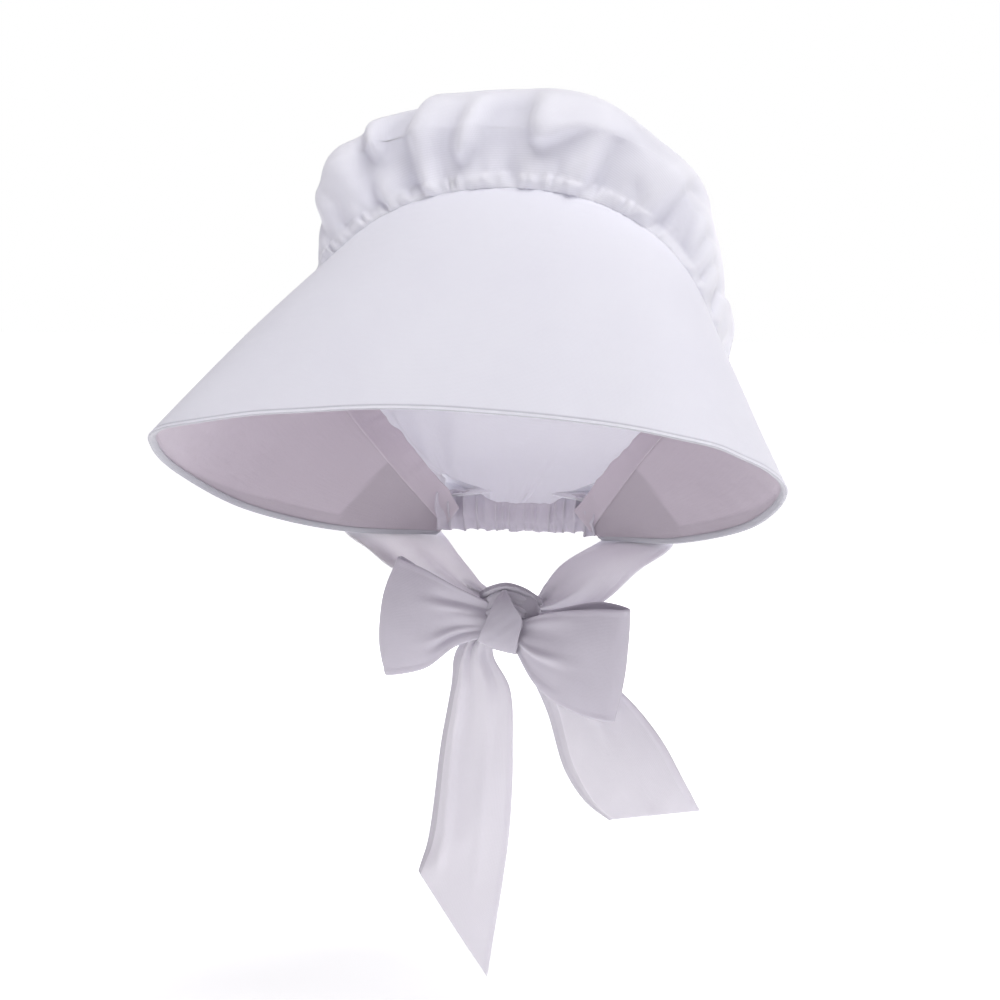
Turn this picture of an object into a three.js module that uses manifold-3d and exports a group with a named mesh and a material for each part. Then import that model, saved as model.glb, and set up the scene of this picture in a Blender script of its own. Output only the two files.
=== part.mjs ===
// A cotton prairie bonnet: a deep stiffened brim, a gathered crown, an elastic nape casing
// and two wide ribbon ties knotted in a bow below the chin.
// Millimetres, +Z up. The origin is where the top of the brim seam sits on the head,
// the face looks towards -Y and +X is the wearer's left.
import * as THREE from "three";
import Module from "manifold-3d";
import { mergeVertices } from "three/addons/utils/BufferGeometryUtils.js";

const wasm = await Module();
wasm.setup();

// Cloth thicknesses and the clearance between neighbouring pieces.
const BRIM_CLOTH = 1.2;
const LINING_CLOTH = 1.0;
const CROWN_CLOTH = 1.2;
const BINDING_CLOTH = 1.0;
const CASING_CLOTH = 2.4;
const RIBBON_CLOTH = 1.1;
const CLEARANCE = 0.35;

// The line where brim and crown are sewn together, from the top of the head (first row)
// down past the ear to the corner at the nape, on the wearer's left side.
const SEAM_ROWS = [
  { x: 0, y: 0, z: 0 },
  { x: 53, y: 0, z: -9 },
  { x: 89, y: 1, z: -33 },
  { x: 107, y: 6, z: -72 },
  { x: 95, y: 11, z: -103 },
  { x: 66, y: 13, z: -138 },
  { x: 36, y: 24, z: -174 },
];

// The brim's free edge, from the middle of the forehead round to the nape corner.
const RIM_ROWS = [
  { x: 0, y: -115, z: -103 },
  { x: 77, y: -118, z: -107 },
  { x: 133, y: -116, z: -115 },
  { x: 153, y: -85, z: -126 },
  { x: 158, y: -44, z: -143 },
  { x: 136, y: -15, z: -162 },
  { x: 92, y: 7, z: -174 },
  { x: 40, y: 27, z: -176 },
];
const BRIM_BOW = 2.0;
const BRIM_END = 0.985;
const SEAM_GAP = 0.4;

// The nape line, where the crown's lower edge is gathered between the two corners.
const NAPE = { halfWidth: 42, y: 29, z: -156 };

// The crown is a fan of ribs that all spring from the nape: y and z are the top of a rib
// over the middle of the head, wide its half width, square how boxy its shoulders are.
// The wearer's right side is a little narrower than the left.
const CROWN_ROWS = [
  { y: -5, z: 14, wide: 111, square: 2.9 },
  { y: -3, z: 32, wide: 110, square: 3.0 },
  { y: 10, z: 46, wide: 108, square: 2.9 },
  { y: 38, z: 49, wide: 105, square: 2.6 },
  { y: 80, z: 30, wide: 99, square: 2.4 },
  { y: 113, z: -4, wide: 92, square: 2.3 },
  { y: 128, z: -50, wide: 82, square: 2.2 },
  { y: 124, z: -98, wide: 70, square: 2.2 },
  { y: 102, z: -136, wide: 58, square: 2.2 },
  { y: 68, z: -154, wide: 50, square: 2.2 },
  { y: 38, z: -157, wide: 46, square: 2.2 },
];
const RIB_ROOT = { y: 27, z: -154 };
const RIGHT_SIDE_WIDTH = 0.975;
const RIB_WAIST = 0.46;
const RIB_MIDDLE_Z = -77;
const CROWN_LEAN = { sideways: -4, over: 0.4 };
const CROWN_SHARE = 0.915;
const CROWN_SEAM_GAP = 0.8;
const FRONT_BLEND = 0.07;
const NAPE_BLEND = 0.2;

// The large gathers that run back from the brim seam, measured along the seam from the
// top of the head (minus is the wearer's right). lean is sideways drift per mm of length.
const GATHER_ROWS = [
  { at: -205, depth: 1, width: 10, reach: 45, lean: 0 },
  { at: -172, depth: 3, width: 10, reach: 52, lean: -0.1 },
  { at: -142, depth: 4, width: 10, reach: 58, lean: -0.15 },
  { at: -116, depth: 5, width: 8, reach: 50, lean: -0.1 },
  { at: -96, depth: 7, width: 8, reach: 62, lean: -0.1 },
  { at: -78, depth: 5, width: 7, reach: 48, lean: 0 },
  { at: -61, depth: 6, width: 7, reach: 58, lean: 0.15 },
  { at: -42, depth: 7, width: 7, reach: 54, lean: 0.15 },
  { at: -20, depth: 7, width: 7, reach: 54, lean: 0.2 },
  { at: 4, depth: 7, width: 8, reach: 58, lean: 0.1 },
  { at: 25, depth: 5, width: 7, reach: 38, lean: 0.3 },
  { at: 46, depth: 6, width: 8, reach: 46, lean: 0.1 },
  { at: 81, depth: 7, width: 8, reach: 66, lean: 0.15 },
  { at: 102, depth: 5, width: 7, reach: 46, lean: 0.1 },
  { at: 130, depth: 4, width: 9, reach: 50, lean: 0.2 },
  { at: 152, depth: 4, width: 9, reach: 56, lean: 0.15 },
  { at: 178, depth: 3, width: 10, reach: 50, lean: 0.1 },
  { at: 205, depth: 1, width: 10, reach: 45, lean: 0 },
];
const GATHER_START = 8;
const GATHER_SPREAD = 60;
const NAPE_GATHERS = 9;
const NAPE_GATHER_DEPTH = 3;
const NAPE_GATHER_REACH = 0.16;
const ROW_CROWDING = 1.35;

// The strip that binds the seam on the inside, and the elastic casing at the nape.
const BINDING_WIDTH = 15;
const BINDING_SHARE = 0.97;
const BINDING_TURN = { backward: 0.75, alongBrim: 0.55, inward: 0.45 };
const BINDING_CORNER = { from: 0.75, width: 0.55, backward: 0.05 };
const BINDING_GAP = 0.35;
const CASING_TOP_Z = -158.3;
const CASING_HEIGHT = 15.5;
const CASING_TOP_X = 37;
const CASING_BOTTOM_X = 33;
const CASING_RUFFLES = 11;
const CASING_RUFFLE_DEPTH = 1.5;
const CASING_BELLY = 1.5;

// How the end of each tie is stitched flat on the outside of the brim, beside the seam.
const TIE_END_ROWS = [
  { share: 0.83, inner: 0.16, outer: 0.74 },
  { share: 0.89, inner: 0.18, outer: 0.72 },
];

// Each ribbon row is a cross-section: one edge (ax, ay, az), the other edge (bx, by, bz),
// how far the middle bows out and how deep it pleats.
const TIE_RIGHT_ROWS = [
  { ax: -91, ay: 13, az: -174, bx: -46, by: 30, bz: -174, bow: 1, pleat: 0 },
  { ax: -75, ay: 8, az: -185, bx: -30, by: 16, bz: -186, bow: 3, pleat: 1 },
  { ax: -57, ay: -1, az: -194, bx: -16, by: 2, bz: -195, bow: 4, pleat: 2 },
  { ax: -32, ay: -4, az: -203, bx: -8, by: -3, bz: -199, bow: 2, pleat: 2 },
  { ax: -10, ay: -5, az: -209, bx: 0, by: -4, bz: -203, bow: 1, pleat: 1 },
];
const TIE_LEFT_ROWS = [
  { ax: 46, ay: 30, az: -174, bx: 84, by: 15, bz: -176, bow: 1, pleat: 0 },
  { ax: 29, ay: 14, az: -186, bx: 69, by: 5, bz: -189, bow: 4, pleat: 0 },
  { ax: 22, ay: 2, az: -197, bx: 52, by: 0, bz: -205, bow: 4, pleat: 1 },
  { ax: 19, ay: -3, az: -203, bx: 34, by: -3, bz: -210, bow: 2, pleat: 1 },
  { ax: 13, ay: -5, az: -206, bx: 20, by: -5, bz: -211, bow: 1, pleat: 1 },
];
const LOOP_RIGHT_ROWS = [
  { ax: 4, ay: -17, az: -207, bx: 4, by: -17, bz: -220, bow: 2, pleat: 1 },
  { ax: -17, ay: -22, az: -197, bx: -18, by: -19, bz: -227, bow: 3, pleat: 1 },
  { ax: -33, ay: -24, az: -189, bx: -32, by: -24, bz: -238, bow: 5, pleat: 0 },
  { ax: -47, ay: -22, az: -184, bx: -53, by: -22, bz: -243, bow: 6, pleat: 0 },
  { ax: -47, ay: -18, az: -184, bx: -55, by: -18, bz: -243, bow: 7, pleat: 0 },
  { ax: -35, ay: -14, az: -192, bx: -40, by: -14, bz: -238, bow: 1, pleat: 0 },
  { ax: -17, ay: -14, az: -202, bx: -19, by: -14, bz: -225, bow: 0, pleat: 0 },
  { ax: 4, ay: -13, az: -208, bx: 4, by: -13, bz: -219, bow: 0, pleat: 0 },
];
const LOOP_LEFT_ROWS = [
  { ax: 12, ay: -18, az: -224, bx: 12, by: -18, bz: -215, bow: 2, pleat: 1 },
  { ax: 28, ay: -22, az: -246, bx: 34, by: -26, bz: -208, bow: 5, pleat: 1 },
  { ax: 48, ay: -28, az: -256, bx: 57, by: -30, bz: -205, bow: 4, pleat: 0 },
  { ax: 64, ay: -25, az: -260, bx: 72, by: -27, bz: -205, bow: 2, pleat: 0 },
  { ax: 65, ay: -20, az: -260, bx: 73, by: -20, bz: -205, bow: 2, pleat: 0 },
  { ax: 47, ay: -15, az: -253, bx: 57, by: -15, bz: -203, bow: 0, pleat: 0 },
  { ax: 28, ay: -14, az: -240, bx: 36, by: -14, bz: -207, bow: 0, pleat: 0 },
  { ax: 12, ay: -14, az: -222, bx: 12, by: -14, bz: -214, bow: 0, pleat: 0 },
];
const TAIL_RIGHT_ROWS = [
  { ax: -2, ay: -8, az: -212, bx: 4, by: -9, bz: -212, bow: 1, pleat: 0 },
  { ax: -13, ay: -7, az: -219, bx: -1, by: -8, bz: -219, bow: 2, pleat: 1 },
  { ax: -24, ay: -9, az: -231, bx: -2, by: -11, bz: -231, bow: 3, pleat: 1 },
  { ax: -25, ay: -11, az: -249, bx: 8, by: -14, bz: -248, bow: 4, pleat: 1 },
  { ax: -30, ay: -13, az: -280, bx: 10, by: -15, bz: -279, bow: 3, pleat: 0 },
  { ax: -34, ay: -15, az: -318, bx: 8, by: -14, bz: -317, bow: 3, pleat: 0 },
  { ax: -36, ay: -16, az: -331, bx: 5, by: -14, bz: -342, bow: 2, pleat: 0 },
  { ax: -39, ay: -17, az: -343, bx: -3, by: -15, bz: -394, bow: 1, pleat: 0 },
];
const TAIL_LEFT_ROWS = [
  { ax: 8, ay: -8, az: -218, bx: 14, by: -8, bz: -217, bow: 1, pleat: 0 },
  { ax: 13, ay: -8, az: -230, bx: 25, by: -7, bz: -226, bow: 2, pleat: 1 },
  { ax: 20, ay: -8, az: -247, bx: 48, by: -5, bz: -238, bow: 3, pleat: 1 },
  { ax: 26, ay: -9, az: -260, bx: 65, by: -5, bz: -249, bow: 4, pleat: 0 },
  { ax: 36, ay: -11, az: -289, bx: 84, by: -7, bz: -269, bow: 4, pleat: 0 },
  { ax: 47, ay: -12, az: -303, bx: 97, by: -9, bz: -289, bow: 3, pleat: 0 },
  { ax: 60, ay: -13, az: -311, bx: 106, by: -10, bz: -304, bow: 2, pleat: 0 },
];

// The knot is a broad wrap with a narrower band across its front.
const KNOT_PARTS = [
  { x: 10.5, y: -13, z: -208, wide: 16.5, deep: 10, tall: 13, lean: 0.15 },
  { x: 10, y: -19, z: -213, wide: 10, deep: 8.5, tall: 17, lean: -0.15 },
];
const KNOT_SIDES = 14;
const KNOT_RINGS = 10;

// Evenly spaced numbers from low to high.
const spread = (steps, low, high) =>
  Array.from({ length: steps + 1 }, (_, i) => low + ((high - low) * i) / steps);

// Falls smoothly from 1 at x = 0 to 0 at x = 1.
function fade(x) {
  const left = 1 - Math.min(Math.max(x, 0), 1);
  return left * left * (3 - 2 * left);
}

// A grid of points over a piece of cloth becomes a closed solid of that thickness.
// The first index runs along the piece and the second across it.
function clothSolid(grid, thickness) {
  const rows = grid.length;
  const columns = grid[0].length;
  const near = (i, last) => Math.min(Math.max(i, 0), last);
  const pick = (i, j) => grid[near(i, rows - 1)][near(j, columns - 1)];
  const points = [];
  for (const side of [0.5, -0.5]) {
    for (let i = 0; i < rows; i++) {
      for (let j = 0; j < columns; j++) {
        const along = pick(i + 1, j).clone().sub(pick(i - 1, j));
        const across = pick(i, j + 1).clone().sub(pick(i, j - 1));
        const normal = along.cross(across).normalize();
        points.push(grid[i][j].clone().addScaledVector(normal, side * thickness));
      }
    }
  }
  const index = [];
  const at = (face, i, j) => (face * rows + i) * columns + j;
  const quad = (a, b, c, d) => index.push(a, b, c, a, c, d);
  for (let i = 0; i + 1 < rows; i++) {
    for (let j = 0; j + 1 < columns; j++) {
      quad(at(0, i, j), at(0, i + 1, j), at(0, i + 1, j + 1), at(0, i, j + 1));
      quad(at(1, i, j), at(1, i, j + 1), at(1, i + 1, j + 1), at(1, i + 1, j));
    }
    const last = columns - 1;
    quad(at(0, i, 0), at(1, i, 0), at(1, i + 1, 0), at(0, i + 1, 0));
    quad(at(0, i, last), at(0, i + 1, last), at(1, i + 1, last), at(1, i, last));
  }
  for (let j = 0; j + 1 < columns; j++) {
    const last = rows - 1;
    quad(at(0, 0, j), at(0, 0, j + 1), at(1, 0, j + 1), at(1, 0, j));
    quad(at(0, last, j), at(1, last, j), at(1, last, j + 1), at(0, last, j + 1));
  }
  const geometry = new THREE.BufferGeometry().setFromPoints(points);
  geometry.setIndex(index);
  geometry.computeVertexNormals();
  return geometry;
}

// A smooth curve through a table that is mirrored about the middle of the head.
// share runs from -1 at the wearer's right to 1 at the wearer's left.
function symmetricCurve(rows) {
  const left = rows.map((row) => new THREE.Vector3(row.x, row.y, row.z));
  const right = rows.slice(1).map((row) => new THREE.Vector3(-row.x, row.y, row.z));
  const curve = new THREE.CatmullRomCurve3([...right.reverse(), ...left]);
  return (share) => curve.getPoint((share + 1) / 2);
}
const seamAt = symmetricCurve(SEAM_ROWS);
const rimAt = symmetricCurve(RIM_ROWS);

// Length along the seam in mm from the top of the head, with the sign of share.
const SEAM_STEPS = 120;
const seamLengths = [0];
for (let i = 1; i <= SEAM_STEPS; i++) {
  const step = seamAt(i / SEAM_STEPS).distanceTo(seamAt((i - 1) / SEAM_STEPS));
  seamLengths.push(seamLengths[i - 1] + step);
}
function seamLengthAt(share) {
  const place = Math.min(Math.abs(share), 1) * SEAM_STEPS;
  const i = Math.min(Math.floor(place), SEAM_STEPS - 1);
  return Math.sign(share) * (seamLengths[i] + (place - i) * (seamLengths[i + 1] - seamLengths[i]));
}

// The way from the seam to the rim at a share.
const brimWay = (share) => rimAt(share).sub(seamAt(share));

// A point of the brim's middle surface, out from the seam (0) to the rim (1).
function brimPoint(share, out) {
  const way = brimWay(share);
  const start = SEAM_GAP / way.length();
  const point = seamAt(share).addScaledVector(way, start + (1 - start) * out);
  const outward = new THREE.Vector3(point.x, point.y / 2, point.z - RIB_ROOT.z).normalize();
  return point.addScaledVector(outward, BRIM_BOW * Math.sin(Math.PI * out) * (1 - share ** 4));
}

// The unit normal of the brim, which points in towards the head.
function brimNormal(share, out) {
  const step = 0.01;
  const along = brimPoint(share + step, out).sub(brimPoint(share - step, out));
  const outward = brimPoint(share, out + step).sub(brimPoint(share, out - step));
  return along.cross(outward).normalize();
}

const brimOffset = (share, out, depth) =>
  brimPoint(share, out).addScaledVector(brimNormal(share, out), depth);

// One layer of the brim, set in from its middle surface by depth.
const brimLayer = (depth, along, outward) =>
  spread(along, -BRIM_END, BRIM_END).map((share) =>
    spread(outward, 0, 1).map((out) => brimOffset(share, out, depth)),
  );

// One named column of the crown's table as a smooth function of back.
const crownTop = new THREE.CatmullRomCurve3(
  CROWN_ROWS.map((row) => new THREE.Vector3(row.y, row.z, row.wide)),
);
function squareness(back) {
  const place = back * (CROWN_ROWS.length - 1);
  const i = Math.min(Math.floor(place), CROWN_ROWS.length - 2);
  return THREE.MathUtils.lerp(CROWN_ROWS[i].square, CROWN_ROWS[i + 1].square, place - i);
}

// Distance from the middle of a rib to its cloth in the direction angle, from the top.
function ribReach(angle, wide, height, square) {
  const upper = Math.cos(angle) > 0;
  const power = upper ? square : 2;
  const tall = height * (upper ? 1 - RIB_WAIST : RIB_WAIST);
  const sideways = Math.abs(Math.sin(angle) / wide) ** power;
  const upwards = Math.abs(Math.cos(angle) / tall) ** power;
  return (sideways + upwards) ** (-1 / power);
}

// The smooth crown before gathering, back from the seam (0) to the nape (1).
function crownForm(share, back) {
  const seam = seamAt(share).addScaledVector(brimWay(share).normalize(), -CROWN_SEAM_GAP);
  const angle = Math.atan2(seam.x, seam.z - RIB_MIDDLE_Z);
  const top = crownTop.getPoint(back);
  const rise = new THREE.Vector2(top.x - RIB_ROOT.y, top.y - RIB_ROOT.z);
  const wide = top.z * (share < 0 ? RIGHT_SIDE_WIDTH : 1);
  const reach = ribReach(angle, wide, rise.length(), squareness(back));
  const height = RIB_WAIST + (reach * Math.cos(angle)) / rise.length();
  const lean = CROWN_LEAN.sideways * (1 - fade((height - RIB_WAIST) / CROWN_LEAN.over));
  const rib = new THREE.Vector3(
    reach * Math.sin(angle) + lean,
    RIB_ROOT.y + height * rise.x,
    RIB_ROOT.z + height * rise.y,
  );
  const turn = (Math.PI / 2) * (share / CROWN_SHARE);
  const nape = new THREE.Vector3(NAPE.halfWidth * Math.sin(turn), NAPE.y, NAPE.z);
  const form = seam.clone().lerp(rib, 1 - fade(back / FRONT_BLEND));
  return form.lerp(nape, fade((1 - back) / NAPE_BLEND));
}

// How far the gathers sink the cloth at a place, length mm back from the seam.
function gatherDepth(share, back, length) {
  const along = seamLengthAt(share);
  let sink = 0;
  for (const row of GATHER_ROWS) {
    const middle = row.at + row.lean * length;
    const width = row.width * (1 + length / GATHER_SPREAD);
    const valley = Math.exp(-(((along - middle) / width) ** 2));
    sink += row.depth * valley * fade(length / row.reach);
  }
  const ruffle = 0.5 + 0.5 * Math.cos(Math.PI * 2 * NAPE_GATHERS * share);
  const napeSink = NAPE_GATHER_DEPTH * ruffle * fade((1 - back) / NAPE_GATHER_REACH);
  return (sink + napeSink) * (1 - fade(length / GATHER_START));
}

function crownInward(share, back) {
  const step = 0.01;
  const along = crownForm(share + step, back).sub(crownForm(share - step, back));
  const low = Math.max(back - step, 0);
  const high = Math.min(back + step, 1);
  const backward = crownForm(share, high).sub(crownForm(share, low));
  return backward.cross(along).normalize();
}

function crownSurface(along, backward) {
  return spread(along, -CROWN_SHARE, CROWN_SHARE).map((share) => {
    let length = 0;
    let last = crownForm(share, 0);
    return spread(backward, 0, 1).map((step) => {
      const back = step ** ROW_CROWDING;
      const point = crownForm(share, back);
      length += point.distanceTo(last);
      last = point.clone();
      return point.addScaledVector(crownInward(share, back), gatherDepth(share, back, length));
    });
  });
}

// The strip inside the seam continues the lining's layer and turns back into the crown.
function bindingSurface(along, across) {
  const depth = BRIM_CLOTH / 2 + CLEARANCE + LINING_CLOTH / 2;
  return spread(along, -BINDING_SHARE, BINDING_SHARE).map((share) => {
    const way = brimWay(share).normalize();
    const start = seamAt(share)
      .addScaledVector(brimNormal(share, 0), depth)
      .addScaledVector(way, -BINDING_GAP);
    const inward = new THREE.Vector3(-start.x, 0, RIB_MIDDLE_Z - start.z).normalize();
    const corner = 1 - fade((Math.abs(share) - BINDING_CORNER.from) / (1 - BINDING_CORNER.from));
    const backward = BINDING_TURN.backward * THREE.MathUtils.lerp(1, BINDING_CORNER.backward, corner);
    const width = BINDING_WIDTH * THREE.MathUtils.lerp(1, BINDING_CORNER.width, corner);
    const direction = new THREE.Vector3(0, backward, 0)
      .addScaledVector(way, -BINDING_TURN.alongBrim)
      .addScaledVector(inward, BINDING_TURN.inward)
      .normalize();
    return spread(across, 0, width).map((reach) =>
      start.clone().addScaledVector(direction, reach),
    );
  });
}

// The ruffled elastic casing between the two nape corners, below the crown's edge.
function casingSurface(along, down) {
  return spread(along, -1, 1).map((share) => {
    const ruffle = CASING_RUFFLE_DEPTH * Math.cos(Math.PI * 2 * CASING_RUFFLES * share);
    return spread(down, 0, 1).map((fall) => {
      const belly = CASING_BELLY * Math.sin(Math.PI * fall);
      const halfWidth = THREE.MathUtils.lerp(CASING_TOP_X, CASING_BOTTOM_X, fall);
      const x = halfWidth * share;
      return new THREE.Vector3(x, NAPE.y + ruffle - belly, CASING_TOP_Z - CASING_HEIGHT * fall);
    });
  });
}

// A ribbon lofted through its cross-sections.
function ribbonSurface(rows, along, across) {
  const edgeA = new THREE.CatmullRomCurve3(rows.map((row) => new THREE.Vector3(row.ax, row.ay, row.az)));
  const edgeB = new THREE.CatmullRomCurve3(rows.map((row) => new THREE.Vector3(row.bx, row.by, row.bz)));
  const form = new THREE.CatmullRomCurve3(rows.map((row) => new THREE.Vector3(row.bow, row.pleat, 0)));
  return spread(along, 0, 1).map((share) => {
    const a = edgeA.getPoint(share);
    const width = edgeB.getPoint(share).sub(a);
    const middleWay = edgeA.getTangent(share).add(edgeB.getTangent(share));
    const normal = middleWay.cross(width).normalize();
    const shape = form.getPoint(share);
    return spread(across, -1, 1).map((side) => {
      const rise = shape.x * (1 - side * side) + shape.y * Math.cos(Math.PI * 2 * side);
      return a.clone().addScaledVector(width, (side + 1) / 2).addScaledVector(normal, rise);
    });
  });
}

// The stitched end of a tie, laid on the outside of the brim, as ribbon rows.
function tieEndRows(wearersSide) {
  const depth = -(BRIM_CLOTH / 2 + CLEARANCE + RIBBON_CLOTH / 2);
  return TIE_END_ROWS.map((row) => {
    const inner = brimOffset(wearersSide * row.share, row.inner, depth);
    const outer = brimOffset(wearersSide * row.share, row.outer, depth);
    const [a, b] = wearersSide > 0 ? [inner, outer] : [outer, inner];
    return { ax: a.x, ay: a.y, az: a.z, bx: b.x, by: b.y, bz: b.z, bow: 0, pleat: 0 };
  });
}

// Closed geometry to a solid and back, for joining pieces and cutting them clear.
function toSolid(geometry) {
  const bare = geometry.clone();
  bare.deleteAttribute("normal");
  bare.deleteAttribute("uv");
  const merged = mergeVertices(bare, 1e-4);
  return new wasm.Manifold(
    new wasm.Mesh({
      numProp: 3,
      vertProperties: merged.attributes.position.array,
      triVerts: new Uint32Array(merged.index.array),
    }),
  );
}
function toGeometry(solid) {
  const mesh = solid.getMesh();
  const geometry = new THREE.BufferGeometry();
  geometry.setAttribute("position", new THREE.BufferAttribute(mesh.vertProperties, 3));
  geometry.setIndex(new THREE.BufferAttribute(mesh.triVerts, 1));
  geometry.computeVertexNormals();
  return geometry;
}

function knotSolid(grow) {
  const parts = KNOT_PARTS.map((part) => {
    const geometry = new THREE.SphereGeometry(1, KNOT_SIDES, KNOT_RINGS);
    geometry.scale(part.wide + grow, part.deep + grow, part.tall + grow);
    geometry.rotateY(part.lean);
    geometry.translate(part.x, part.y, part.z);
    return toSolid(geometry);
  });
  return parts[0].add(parts[1]);
}
const knotRoom = knotSolid(CLEARANCE);

// A ribbon piece that is stopped where it enters the knot.
function knottedRibbon(rows, along, across) {
  return toGeometry(toSolid(clothSolid(ribbonSurface(rows, along, across), RIBBON_CLOTH)).subtract(knotRoom));
}

const COTTON = { color: 0xe5e4ed, roughness: 0.85, metalness: 0 };
const LINING = { color: 0xb5adbb, roughness: 0.85, metalness: 0 };
const RIBBON = { color: 0xdedae6, roughness: 0.7, metalness: 0 };

const bonnet = new THREE.Group();
function add(name, geometry, finish) {
  const mesh = new THREE.Mesh(geometry, new THREE.MeshStandardMaterial(finish));
  mesh.name = name;
  bonnet.add(mesh);
}

add("brim", clothSolid(brimLayer(0, 48, 3), BRIM_CLOTH), COTTON);
add(
  "brim_lining",
  clothSolid(brimLayer((BRIM_CLOTH + LINING_CLOTH) / 2 + CLEARANCE, 48, 3), LINING_CLOTH),
  LINING,
);
add("crown", clothSolid(crownSurface(70, 17), CROWN_CLOTH), COTTON);
add("seam_binding", clothSolid(bindingSurface(40, 2), BINDING_CLOTH), LINING);
add("nape_casing", clothSolid(casingSurface(44, 2), CASING_CLOTH), LINING);
add("bow_knot", toGeometry(knotSolid(0)), RIBBON);
add("tie_right", knottedRibbon([...tieEndRows(-1), ...TIE_RIGHT_ROWS], 14, 6), RIBBON);
add("tie_left", knottedRibbon([...tieEndRows(1), ...TIE_LEFT_ROWS], 14, 6), RIBBON);
add("bow_loop_right", knottedRibbon(LOOP_RIGHT_ROWS, 22, 6), RIBBON);
add("bow_loop_left", knottedRibbon(LOOP_LEFT_ROWS, 22, 6), RIBBON);
add("tail_right", knottedRibbon(TAIL_RIGHT_ROWS, 16, 6), RIBBON);
add("tail_left", knottedRibbon(TAIL_LEFT_ROWS, 16, 6), RIBBON);

export default bonnet;
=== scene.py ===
# %% [markdown]
# # A cotton prairie bonnet, dressed for its portrait
# The frame holds the bonnet's plain solids: a deep stiff brim with its lining, a gathered crown,
# the strip over the seam, a ruffled elastic casing at the nape, and a ribbon tied in a bow. Each
# stays for collision, and a finer cloth is shown for it. The bonnet hangs as if on a head.

import math

import bpy
import numpy as np
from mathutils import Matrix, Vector


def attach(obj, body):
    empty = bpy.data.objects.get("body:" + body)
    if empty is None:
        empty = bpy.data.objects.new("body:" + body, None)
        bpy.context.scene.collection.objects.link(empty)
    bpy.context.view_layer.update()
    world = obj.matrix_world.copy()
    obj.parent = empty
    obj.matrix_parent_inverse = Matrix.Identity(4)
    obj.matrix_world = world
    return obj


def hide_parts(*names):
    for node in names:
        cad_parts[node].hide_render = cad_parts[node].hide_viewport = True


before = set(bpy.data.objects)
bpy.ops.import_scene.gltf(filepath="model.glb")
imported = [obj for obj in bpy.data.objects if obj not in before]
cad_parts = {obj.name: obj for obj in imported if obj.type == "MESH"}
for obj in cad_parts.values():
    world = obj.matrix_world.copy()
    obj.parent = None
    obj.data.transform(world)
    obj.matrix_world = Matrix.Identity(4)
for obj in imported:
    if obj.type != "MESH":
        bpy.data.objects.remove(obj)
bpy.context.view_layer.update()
print("solids", sorted(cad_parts))

# %% [markdown]
# ## Curves through a few rows
# The brim, the crown and the ribbons are lofted through short tables of sizes in mm. Blender's
# curve objects could do it, but a function gives the point at any place, which gathers and
# pleats need. It is a centripetal Catmull-Rom curve: it passes through each row, and doesn't
# overshoot where rows lie close.

# %% Smooth curves and fades
MM = 0.001
SAME_PLACE = 1e-4


def smooth_curve(rows):
    """Returns a function that gives the curve's point at any place from 0 to 1."""
    rows = np.asarray(rows, float)
    last = len(rows) - 1
    held = np.vstack([2 * rows[0] - rows[1], rows, 2 * rows[-1] - rows[-2]])

    def root_distance(a, b):
        return np.linalg.norm(b - a, axis=-1)[..., None] ** 0.5

    def at(place):
        place = np.asarray(place, float) * last
        i = np.clip(place.astype(int), 0, last - 1)
        w = (place - i)[..., None]
        p0, p1, p2, p3 = (held[i + k] for k in range(4))
        d0, d1, d2 = root_distance(p0, p1), root_distance(p1, p2), root_distance(p2, p3)
        d1 = np.where(d1 < SAME_PLACE, 1, d1)
        d0, d2 = np.where(d0 < SAME_PLACE, d1, d0), np.where(d2 < SAME_PLACE, d1, d2)
        t1 = ((p1 - p0) / d0 - (p2 - p0) / (d0 + d1) + (p2 - p1) / d1) * d1
        t2 = ((p2 - p1) / d1 - (p3 - p1) / (d1 + d2) + (p3 - p2) / d2) * d1
        bend = -3 * p1 + 3 * p2 - 2 * t1 - t2
        return p1 + w * (t1 + w * (bend + w * (2 * p1 - 2 * p2 + t1 + t2)))

    return at


def fade(x):
    """Falls smoothly from 1 at x = 0 to 0 at x = 1."""
    left = 1 - np.clip(x, 0, 1)
    return left * left * (3 - 2 * left)


def unit(v):
    return v / np.maximum(np.linalg.norm(v, axis=-1, keepdims=True), 1e-9)


def hill(turns):
    """A smooth wave from 0 up to 1 and back, once in each turn."""
    return 0.5 - 0.5 * np.cos(2 * np.pi * turns)


def step_lengths(points, axis=0):
    return np.linalg.norm(np.diff(points, axis=axis), axis=-1)


def summed(steps):
    """The running total of the steps, which starts at 0."""
    start = np.zeros((*steps.shape[:-1], 1))
    return np.concatenate([start, np.cumsum(steps, axis=-1)], axis=-1)


def wobble(x, seed, octaves=4):
    """A repeatable uneven wave with values near -1 to 1; x is in turns of its longest wave."""
    draw = np.random.default_rng(seed)
    total = np.zeros_like(np.asarray(x, float))
    for k in range(octaves):
        phase = draw.uniform(0, 2 * np.pi)
        rate = (1.0 + k * 0.83) * draw.uniform(0.85, 1.15)
        total = total + np.sin(2 * np.pi * rate * x + phase) / (1 + 0.5 * k)
    return total / 2


print("a curve's middle", smooth_curve([[0, 0], [1, 2], [2, 0]])(0.5))

# %% [markdown]
# ## From a grid of points to a piece of cloth
# A Solidify modifier would give cloth its two faces, but with a hard square edge. Here each grid
# becomes a closed mesh with one more ring of points pushed out round its border, so that every
# edge is softly rounded. The UV map holds the place on the flat cloth in metres, so that
# threads keep their size.

# %% Cloth from a grid
BORDER_REACH = 0.8


def numbered(rows, columns):
    """The numbers of a grid's points, and those round its border in order."""
    index = np.arange(rows * columns).reshape(rows, columns)
    ring = np.concatenate([index[0, :-1], index[:-1, -1], index[-1, :0:-1], index[:0:-1, 0]])
    return index, ring


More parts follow.
